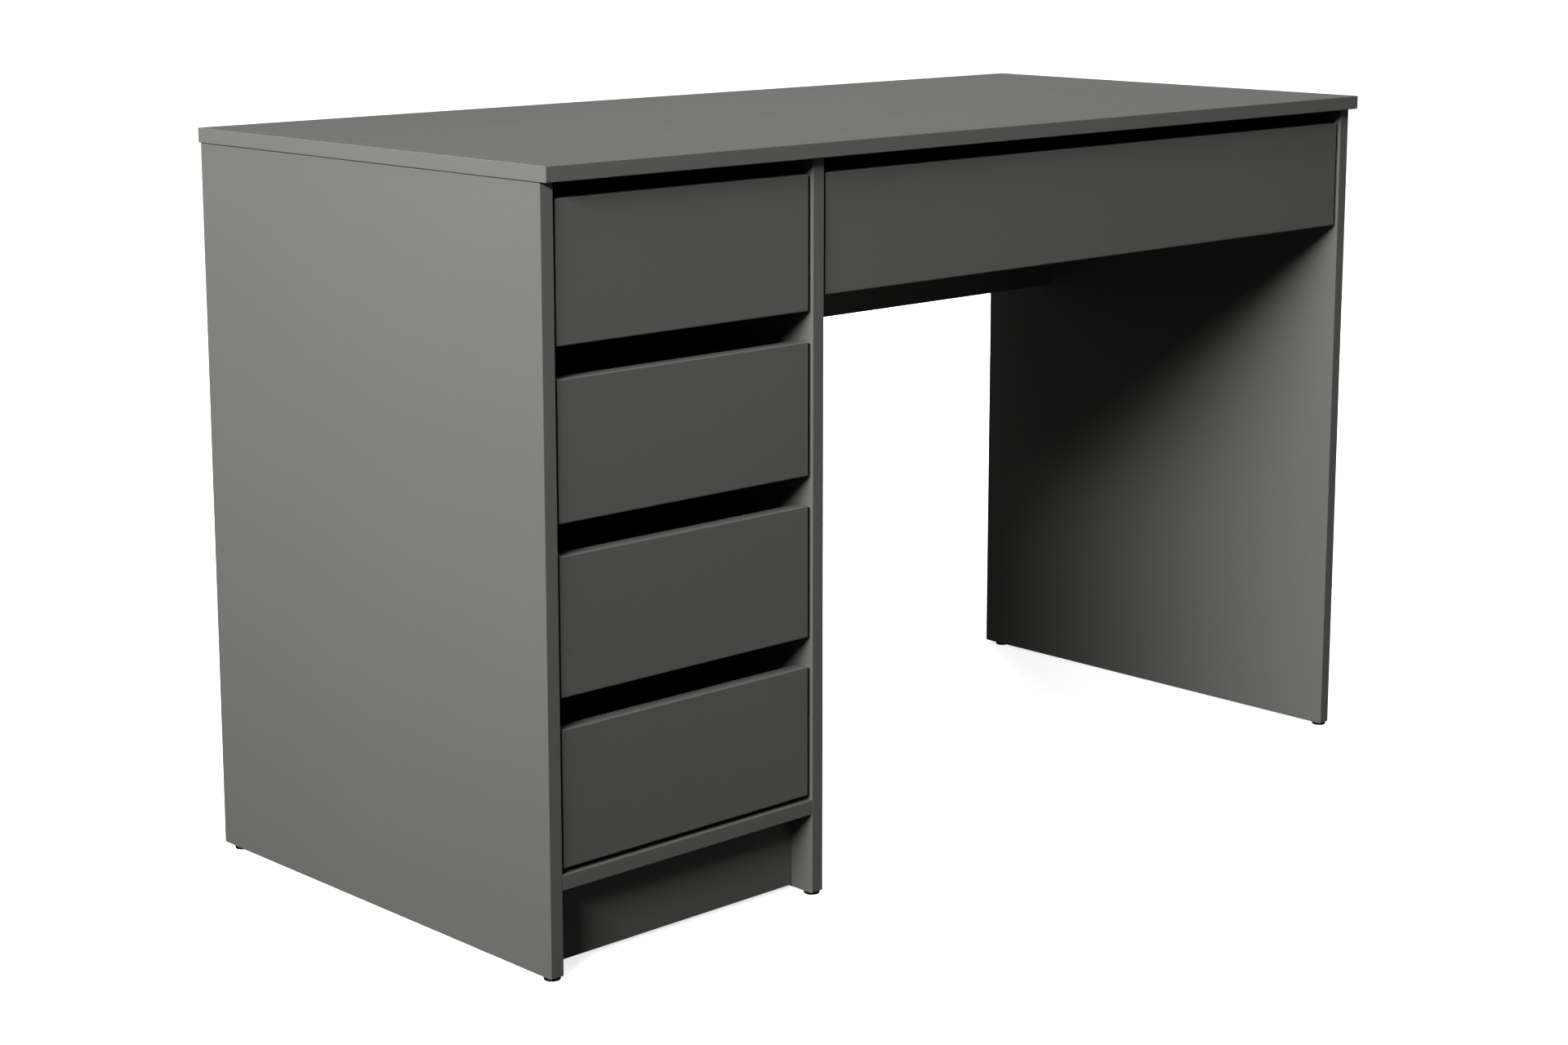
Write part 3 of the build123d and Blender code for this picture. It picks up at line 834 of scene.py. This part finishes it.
def cam_tree():
    """A cam lock: a disc with a rimmed face, a cross recess and an opening for the bolt's head."""
    tree = Tree("desk_cam_lock", {
        "Radius": 0.0075, "Depth": 0.0125, "Rim": 0.0009, "Recess": 0.008, "Slot": 0.0016,
        "Mouth": 0.0036, "Middle": 0.0075,
    })
    radius, depth, rim, recess, slot, mouth_radius, middle = tree.sizes
    disc = tree.drum(CAM_SIDES, radius, depth)
    dish_depth = tree.times(rim, 0.4)
    dish = tree.drum(CAM_SIDES, tree.minus(radius, rim), tree.times(dish_depth, 2.0))
    dish = tree.moved(dish, dish_depth)
    recess_depth = tree.times(slot, 1.4)
    arms = tree.cross(recess, slot, recess_depth)
    mouth = {"Geometry": tree.drum(HEAD_SIDES, mouth_radius, radius), "Rotation": (0.0, -math.pi / 2, 0.0)}
    mouth = tree.sunk(tree.add("GeometryNodeTransform", inputs=mouth), middle)
    return tree.set_out(tree.less(disc, [dish, *arms, mouth]))


def rod_tree():
    """A dowel, a bolt or a glide: a rod with a wider or fluted stretch."""
    tree = Tree("desk_rod", {
        "Head radius": 0.0036, "Head depth": 0.005, "Core radius": 0.003, "Length": 0.045,
        "Chamfer": 0.0006, "Flutes": 0,
    })
    head, depth, core, long, chamfer, flutes = tree.sizes
    lead = tree.drum(ROD_SIDES, tree.minus(head, chamfer), chamfer, head)
    cap = tree.sunk(tree.drum(ROD_SIDES, head, tree.minus(depth, chamfer)), chamfer)
    stem_length = tree.minus(tree.minus(long, depth), chamfer)
    stem = tree.sunk(tree.drum(ROD_SIDES, core, stem_length), depth)
    tail = tree.drum(ROD_SIDES, core, chamfer, tree.minus(core, chamfer))
    tail = tree.moved(tail, tree.minus(chamfer, long))
    # the ribs between the flutes stand half out of the core, and stop short of both ends
    ring = {"Vertices": flutes, "Radius": tree.times(core, 1.02)}
    ring = tree.add("GeometryNodeMeshCircle", {"fill_type": "NONE"}, ring)
    rib_radius = tree.times(core, 0.09)
    rib_length = tree.times(long, 0.8)
    rib_start = tree.times(long, -0.1)
    rib = tree.drum(FLUTE_SIDES, rib_radius, rib_length)
    ribs = tree.add("GeometryNodeInstanceOnPoints", inputs={"Points": ring, "Instance": rib})
    ribs = tree.add("GeometryNodeRealizeInstances", inputs={"Geometry": ribs})
    return tree.set_out(tree.merged(lead, cap, stem, tail, tree.moved(ribs, rib_start)))


def rib_tree():
    """A moulded rib: a bar that stands on a point, with its reach along the outward way."""
    tree = Tree("desk_rib", {"Thickness": 0.0012, "Width": 0.0009, "Reach": 0.004})
    return tree.set_out(tree.bar(*tree.sizes))


def repeated(name, places, group, sizes, finish_name):
    """Runs a tree over the places, which are points with their outward ways and spins."""
    bm = bmesh.new()
    for point, *way in places:
        bm.verts.new(point)
    piece = new_object(name, bm)
    attributes = piece.data.attributes
    attributes.new("outward", "FLOAT_VECTOR", "POINT")
    attributes.new("spin", "FLOAT", "POINT")
    for index, (point, outward, spin) in enumerate(places):
        attributes["outward"].data[index].vector = outward
        attributes["spin"].data[index].value = spin
    modifier = piece.modifiers.new("rows", "NODES")
    modifier.node_group = group
    values = dict(sizes, Material=finish(finish_name))
    for item in group.interface.items_tree:
        if item.in_out == "INPUT" and item.name in values:
            modifier[item.identifier] = values[item.name]
    evaluated(piece)
    bm = opened(piece)
    bmesh.ops.recalc_face_normals(bm, faces=bm.faces)
    smoothed(bm)
    bm.to_mesh(piece.data)
    bm.free()
    piece.data.materials.clear()
    piece.data.materials.append(finish(finish_name))
    return piece


def set_out(name, node, places, group, sizes, finish_name, replaces=()):
    """A piece of many copies, riding with a CAD node's body."""
    piece = repeated(name, places, group, sizes, finish_name)
    settle_piece(piece, node, replaces)


# ---------------------------------------------------------------- pieces

TURNING_STEPS = 48     # sides of a turned mesh
ROLLER_BORE = 0.00255
HUB_WALL = 0.0017      # thickness of a roller round its bore
TREAD_WALL = 0.0024    # thickness of a roller under its tread
SHOULDER = 0.0011      # radius of the edges of the tread
HUB_CHAMFER_DEPTH = 0.0002
HUB_CHAMFER_WIDTH = 0.0003
HUB_DRAFT = 0.0006     # how far the wall of the hub leans out to the bottom of the dish
TREAD_DRAFT = 0.0004   # how far the wall under the tread leans in
RIB_WIDTH = 0.0009
RIB_SINK = 0.0001      # how far a rib runs into the hub and the tread
RIB_SET_BACK = 0.0002  # how far a rib stands behind the face of the roller
POCKET_PLAY = 0.00008  # a cam's pocket is this much larger than the cam
POCKET_MOUTH = 0.001   # how far a pocket's cutter stands out of its board


def lathed(profile, centre, axis):
    """A closed turned mesh: profile holds (place along the axis, radius) from one end to the other."""
    bm = bmesh.new()
    way = along((axis, 1))
    side = along(((axis + 1) % 3, 1))
    rings = []
    for place, radius in profile:
        ring = []
        for step in range(TURNING_STEPS):
            turned = Matrix.Rotation(2 * math.pi * step / TURNING_STEPS, 3, way) @ side
            ring.append(bm.verts.new(centre + way * place + turned * radius))
        rings.append(ring)
    for first, second in zip(rings, rings[1:]):
        for i in range(TURNING_STEPS):
            j = (i + 1) % TURNING_STEPS
            bm.faces.new((first[i], first[j], second[j], second[i]))
    bmesh.ops.remove_doubles(bm, verts=bm.verts, dist=WELD)
    return bm


def roller_mesh(low, high):
    """A nylon roller: crowned tread, rounded shoulders, a dish in both sides and a bore; the ribs in its
    dishes are added by make_rollers.
    """
    sizes = bpy.context.scene.desk_fittings
    centre = (low + high) / 2
    half = (high.x - low.x) / 2
    radius = (high.z - low.z) / 2
    hub = ROLLER_BORE + HUB_WALL
    dish = sizes.roller_dish
    inner = radius - TREAD_WALL
    outline = [(-half, hub), (-half + HUB_CHAMFER_DEPTH, hub + HUB_CHAMFER_WIDTH)]
    outline += [(-half + dish, hub + HUB_DRAFT), (-half + dish, inner - TREAD_DRAFT)]
    outline += [(-half, inner), (-half, radius - SHOULDER)]
    for step in range(1, ARRIS_STEPS + 1):
        turn = math.pi / 2 * step / ARRIS_STEPS
        drop = SHOULDER - math.sin(turn) * (SHOULDER - sizes.roller_crown)
        outline.append((-half + SHOULDER * (1 - math.cos(turn)), radius - drop))
    outline.append((0, radius))
    outline += [(-place, r) for place, r in reversed(outline[:-1])]
    outline += [(half, ROLLER_BORE), (-half, ROLLER_BORE), (-half, hub)]
    return lathed(outline, centre, X)


def make_rollers(node, group):
    """The two rollers of a pair, each with moulded ribs set round its hub by a tree."""
    sizes = bpy.context.scene.desk_fittings
    parts = []
    places = []
    for points in islands(node):
        low, high = low_high(points)
        parts.append(roller_mesh(low, high))
        centre = (low + high) / 2
        half = (high.x - low.x) / 2
        inner = ROLLER_BORE + HUB_WALL - RIB_SINK
        outer = (high.z - low.z) / 2 - TREAD_WALL + RIB_SINK
        for side in (-1, 1):
            across = Vector((side * (half - sizes.roller_dish / 2 - RIB_SET_BACK), 0, 0))
            for step in range(sizes.ribs):
                outward = Matrix.Rotation(2 * math.pi * step / sizes.ribs, 3, "X") @ along(OVER)
                places.append((centre + across + outward * (inner + outer) / 2, outward, 0.0))
    rib = {"Thickness": sizes.roller_dish, "Width": RIB_WIDTH, "Reach": outer - inner}
    ribs = repeated("ribs", places, group, rib, "nylon")
    parts.append(opened(ribs))
    discard(ribs)
    bm = joined(parts)
    bmesh.ops.recalc_face_normals(bm, faces=bm.faces)
    place_piece(f"{node}_nylon", bm, node, "nylon", replaces=[node])


def with_pockets(piece, places, radius, depth):
    """Cuts round pockets into a piece."""
    parts = []
    for point, outward, *turn in places:
        axis = max(range(3), key=lambda i: abs(outward[i]))
        sign = 1 if outward[axis] > 0 else -1
        blind, mouth = -depth * sign, POCKET_MOUTH * sign
        ends = [(blind, 0.0), (blind, radius), (mouth, radius), (mouth, 0.0)]
        parts.append(lathed(ends, point, axis))
    bm = joined(parts)
    bmesh.ops.recalc_face_normals(bm, faces=bm.faces)
    cutter = new_object("pocket_cutter", bm)
    cut = piece.modifiers.new("pockets", "BOOLEAN")
    cut.operation = "DIFFERENCE"
    cut.solver = "EXACT"
    cut.object = cutter
    evaluated(piece)
    discard(cutter)


class DESK_OT_boards(bpy.types.Operator):
    """Makes the carcass boards and the drawer fronts, each with its edge banding"""

    bl_idname = "desk.boards"
    bl_label = "Boards"

    def execute(self, context):
        for node, (banded, eased) in CARCASS_BOARDS.items():
            banded_board(node, banded, eased)
        for drawer in DRAWERS:
            banded_board(f"{drawer}_front", FRONT_BANDS)
        return {"FINISHED"}


class DESK_OT_drawer_boxes(bpy.types.Operator):
    """Makes the sides, backs and bottoms of the drawers and the back of the pedestal"""

    bl_idname = "desk.drawer_boxes"
    bl_label = "Drawer boxes"
    # the height of each cam, as a share of its side's, and how far it is turned
    HEIGHTS = ((0.34, 0.136), (0.76, 0.304))

    def execute(self, context):
        eased = context.scene.desk_boards.box_arris
        sizes = context.scene.desk_fittings
        group = cam_tree()
        depth = sizes.cam_depth
        cam = {"Radius": sizes.cam_radius, "Depth": depth, "Rim": sizes.cam_rim, "Middle": depth / 2}
        thin_arris = eased / 3
        plain_board("pedestal_back", "hardboard", thin_arris)
        for drawer in DRAWERS:
            plain_board(f"{drawer}_bottom", "hardboard", thin_arris)
            # the sides and backs get the dark foil, whose tone is partly painted shade in the gaps between
            # the fronts
            plain_board(f"{drawer}_back", "foil", eased)
            places = []
            for hand, inward in (("left", 1), ("right", -1)):
                node = f"{drawer}_{hand}_side"
                cams = self.cams(node, inward, sizes.cam_backset)
                piece = plain_board(node, "foil", eased)
                with_pockets(piece, cams, sizes.cam_radius + POCKET_PLAY, depth + POCKET_PLAY)
                places += cams
            set_out(f"{drawer}_cam_locks", f"{drawer}_front", places, group, cam, "alloy")
        return {"FINISHED"}

    def cams(self, node, inward, backset):
        """The cams in the inner face of a drawer side, which hold it to the front."""
        low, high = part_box(node)
        face = high.x if inward > 0 else low.x
        places = []
        for share, spin in self.HEIGHTS:
            height = low.z + (high.z - low.z) * share
            places.append((Vector((face, low.y + backset, height)), Vector((inward, 0, 0)), spin))
        return places


class DESK_OT_runners(bpy.types.Operator):
    """Makes the steel rails and the nylon rollers"""

    bl_idname = "desk.runners"
    bl_label = "Runners"

    def execute(self, context):
        eased = context.scene.desk_boards.sheet_arris
        group = rib_tree()
        for owner in ("left_cabinet", "right_cabinet", *DRAWERS):
            node = f"{owner}_rails"
            place_piece(f"{node}_steel", cleaned(node), node, "steel", replaces=[node], eased=eased)
            if owner in DRAWERS:
                make_rollers(f"{owner}_front_rollers", group)
                make_rollers(f"{owner}_rear_rollers", group)
        return {"FINISHED"}


class DESK_OT_screws(bpy.types.Operator):
    """Sets out the screws of the rails and of the drawer boxes"""

    bl_idname = "desk.screws"
    bl_label = "Screws"
    FLUSH_HEAD = 0.0012    # depth of the head of a rail screw
    PAN_HEAD = 0.002       # depth of the head of a drawer screw
    PAN_TAPER = 0.92       # inner radius of a drawer screw's head, as a share of the outer
    TURN = 0.7             # each screw is turned this much further than the last

    def execute(self, context):
        group = screw_tree()
        sizes = context.scene.desk_fittings
        for node in ["rail_screws"] + [f"{drawer}_screws" for drawer in DRAWERS]:
            flush = node == "rail_screws"
            places = []
            for index, (head, way, long, wide, narrow) in enumerate(fastener_places(node)):
                places.append((head, -way, index * self.TURN))
            screw = {
                "Head radius": wide,
                "Head depth": self.FLUSH_HEAD if flush else self.PAN_HEAD,
                "Head base": narrow if flush else wide * self.PAN_TAPER,
                "Core radius": narrow - sizes.thread,
                "Length": long,
                "Pitch": sizes.pitch,
                "Thread": sizes.thread,
                "Recess": sizes.recess,
                "Slot": sizes.recess_slot,
            }
            set_out(f"{node}_turned", node, places, group, screw, "zinc", replaces=[node])
        return {"FINISHED"}


class DESK_OT_fittings(bpy.types.Operator):
    """Sets out the cam locks, their bolts, the dowels and the glides"""

    bl_idname = "desk.fittings"
    bl_label = "Fittings"
    GLIDE_FOOT = 0.003     # height of the foot of a glide
    BOLT_HEAD = 0.005      # length of the wider end of a cam bolt
    DOWEL_LEAD = 0.002     # length of the plain end of a dowel
    FLUTE_DEPTH = 0.0004
    FLUTES = 20
    CAM_LOCK = {"Depth": 0.0125, "Middle": 0.0075}   # thickness, and face to the bolt's centre

    def execute(self, context):
        sizes = context.scene.desk_fittings
        group = rod_tree()
        glide = {"Head depth": self.GLIDE_FOOT, "Chamfer": sizes.glide_edge}
        dowel = {"Head depth": self.DOWEL_LEAD, "Flutes": self.FLUTES}
        self.rods("glides", "glides_moulded", group, glide, "plastic")
        self.rods("cam_bolts", "cam_bolts_turned", group, {"Head depth": self.BOLT_HEAD}, "zinc")
        self.rods("dowels", "dowels_fluted", group, dowel, "beech")
        cam = {"Radius": sizes.cam_radius, "Rim": sizes.cam_rim, **self.CAM_LOCK}
        node = "cam_locks"
        set_out("cam_locks_cast", node, self.cam_places(), cam_tree(), cam, "alloy", replaces=[node])
        return {"FINISHED"}

    def rods(self, node, name, group, sizes, finish_name):
        """Sets out the rods of a node, whose length and radii are those of its first solid."""
        found = fastener_places(node)
        *place, long, wide, narrow = found[0]
        if "Flutes" in sizes:
            wide = narrow = wide - self.FLUTE_DEPTH
        sizes = {"Head radius": wide, "Core radius": narrow, "Length": long, **sizes}
        places = [(head, -way, 0.0) for head, way, *rest in found]
        set_out(name, node, places, group, sizes, finish_name, replaces=[node])

    def cam_places(self):
        """The middle of each cam's face, its outward way, and the spin that turns its mouth to its bolt."""
        places = []
        bolts = fastener_places("cam_bolts")
        for points in islands("cam_locks"):
            low, high = low_high(points)
            size = high - low
            middle = (low + high) / 2
            head, way, *rest = min(bolts, key=lambda bolt: (bolt[0] - middle).length)
            axis = min(range(3), key=lambda i: size[i])
            sign = 1 if self.faces_high(points, axis, low, high) else -1
            face = middle.copy()
            face[axis] = (high if sign > 0 else low)[axis]
            outward = along((axis, sign))
            places.append((face, outward, self.spin(outward, way)))
        return places

    def faces_high(self, points, axis, low, high):
        """The recessed face of a cam has more corners than its blind face."""
        near_high = sum(abs(p[axis] - high[axis]) < WELD for p in points)
        near_low = sum(abs(p[axis] - low[axis]) < WELD for p in points)
        return near_high > near_low

    def spin(self, outward, way):
        """The turn about the outward way that brings the cam's own X to the bolt."""
        turned = Vector((0, 0, 1)).rotation_difference(outward).to_matrix()
        side, up = turned @ Vector((1, 0, 0)), turned @ Vector((0, 1, 0))
        return math.atan2(way.dot(up), way.dot(side))


CEILING_WIDTH = 40     # degrees that the light from above fills
FLOOR_REACH = 30


class DESK_OT_studio(bpy.types.Operator):
    """Lays the floor, hangs the lights and sets up the camera"""

    bl_idname = "desk.studio"
    bl_label = "Studio"

    def execute(self, context):
        scene = context.scene
        studio = scene.desk_studio
        self.floor(studio)
        self.lights(scene, studio)
        self.camera(scene, studio)
        return {"FINISHED"}

    def floor(self, studio):
        bm = bmesh.new()
        bmesh.ops.create_grid(bm, x_segments=1, y_segments=1, size=FLOOR_REACH)
        piece = new_object("floor", bm)
        shader = Shader("pale_floor")
        tone = 1.0 + (shader.noise(0.5) - 0.5) * 0.01
        shader.finish(
            Base_Color=shader.toned(studio.floor, tone),
            Roughness=0.9,
            Specular_IOR_Level=0.1,
            Emission_Color=(1, 1, 1, 1),
            Emission_Strength=studio.floor_glow,
        )
        piece.data.materials.append(shader.material)
        piece.visible_diffuse = False
        piece.visible_glossy = False

    def lights(self, scene, studio):
        key = dict(aim=(0.2, 0, 0.85), bearing=(15.2, 19.5), away=5.0, size=(2.8, 0.6), spread=56)
        rim = dict(aim=(0.2, 0, 0.4), bearing=(220, 24), away=3.6, size=(2.4, 2.4), spread=180)
        self.soft_box("key", studio.key, **key)
        self.soft_box("rim", studio.rim, **rim)
        sky = bpy.data.lights.new("ceiling", "SUN")
        sky.energy = studio.ceiling
        sky.angle = math.radians(CEILING_WIDTH)
        scene.collection.objects.link(bpy.data.objects.new("ceiling", sky))
        world = bpy.data.worlds.new("air")
        world.use_nodes = True
        scene.world = world
        tree = world.node_tree
        air = tree.nodes["Background"]
        air.inputs["Strength"].default_value = studio.air
        air.inputs["Color"].default_value = (1, 1, 1, 1)
        backdrop = tree.nodes.new("ShaderNodeBackground")
        backdrop.inputs["Color"].default_value = (1, 1, 1, 1)
        path = tree.nodes.new("ShaderNodeLightPath")
        mix = tree.nodes.new("ShaderNodeMixShader")
        tree.links.new(path.outputs["Is Camera Ray"], mix.inputs[0])
        tree.links.new(air.outputs[0], mix.inputs[1])
        tree.links.new(backdrop.outputs[0], mix.inputs[2])
        tree.links.new(mix.outputs[0], tree.nodes["World Output"].inputs["Surface"])
        scene.view_settings.view_transform = "Standard"

    def soft_box(self, name, power, aim, bearing, away, size, spread):
        """A rectangular light, whose bearing is degrees from -X towards -Y and degrees up.

        No gloss shows it, so that no board is washed out by its reflection."""
        turn, rise = (math.radians(angle) for angle in bearing)
        way = Vector((-math.cos(turn) * math.cos(rise), -math.sin(turn) * math.cos(rise), math.sin(rise)))
        data = bpy.data.lights.new(name, "AREA")
        data.shape = "RECTANGLE"
        data.size, data.size_y = size
        data.energy = power
        data.spread = math.radians(spread)
        lamp = bpy.data.objects.new(name, data)
        lamp.location = Vector(aim) + way * away
        lamp.rotation_euler = (-way).to_track_quat("-Z", "Y").to_euler()
        lamp.visible_glossy = False
        bpy.context.scene.collection.objects.link(lamp)

    def camera(self, scene, studio):
        data = bpy.data.cameras.new("camera")
        data.lens = studio.lens
        data.sensor_width = 36
        data.shift_y = studio.shift
        camera = bpy.data.objects.new("camera", data)
        camera.location = studio.camera
        camera.rotation_euler = (math.pi / 2 - studio.dip, 0, studio.heading)
        scene.collection.objects.link(camera)
        scene.camera = camera


class DESK_PT_panel(bpy.types.Panel):
    """The desk's sizes, colours and operators"""

    bl_idname = "DESK_PT_panel"
    bl_label = "Writing desk"
    bl_space_type = "VIEW_3D"
    bl_region_type = "UI"
    bl_category = "Desk"

    def draw(self, context):
        for name, kind in SETTINGS.items():
            box = self.layout.box()
            for prop in kind.__annotations__:
                box.prop(getattr(context.scene, name), prop)
        for operator in OPERATORS:
            self.layout.operator(operator.bl_idname)


SETTINGS = {
    "desk_boards": DeskBoards,
    "desk_fittings": DeskFittings,
    "desk_finishes": DeskFinishes,
    "desk_studio": DeskStudio,
}
OPERATORS = (
    DESK_OT_boards,
    DESK_OT_drawer_boxes,
    DESK_OT_runners,
    DESK_OT_screws,
    DESK_OT_fittings,
    DESK_OT_studio,
)
CLASSES = (*SETTINGS.values(), *OPERATORS, DESK_PT_panel)


def register():
    for cls in CLASSES:
        bpy.utils.register_class(cls)
    for name, kind in SETTINGS.items():
        setattr(bpy.types.Scene, name, PointerProperty(type=kind))


def unregister():
    for name in SETTINGS:
        delattr(bpy.types.Scene, name)
    for cls in reversed(CLASSES):
        bpy.utils.unregister_class(cls)


def main():
    register()
    bpy.ops.desk.boards()
    bpy.ops.desk.drawer_boxes()
    bpy.ops.desk.runners()
    bpy.ops.desk.screws()
    bpy.ops.desk.fittings()
    bpy.ops.desk.studio()


if __name__ == "__main__":
    main()
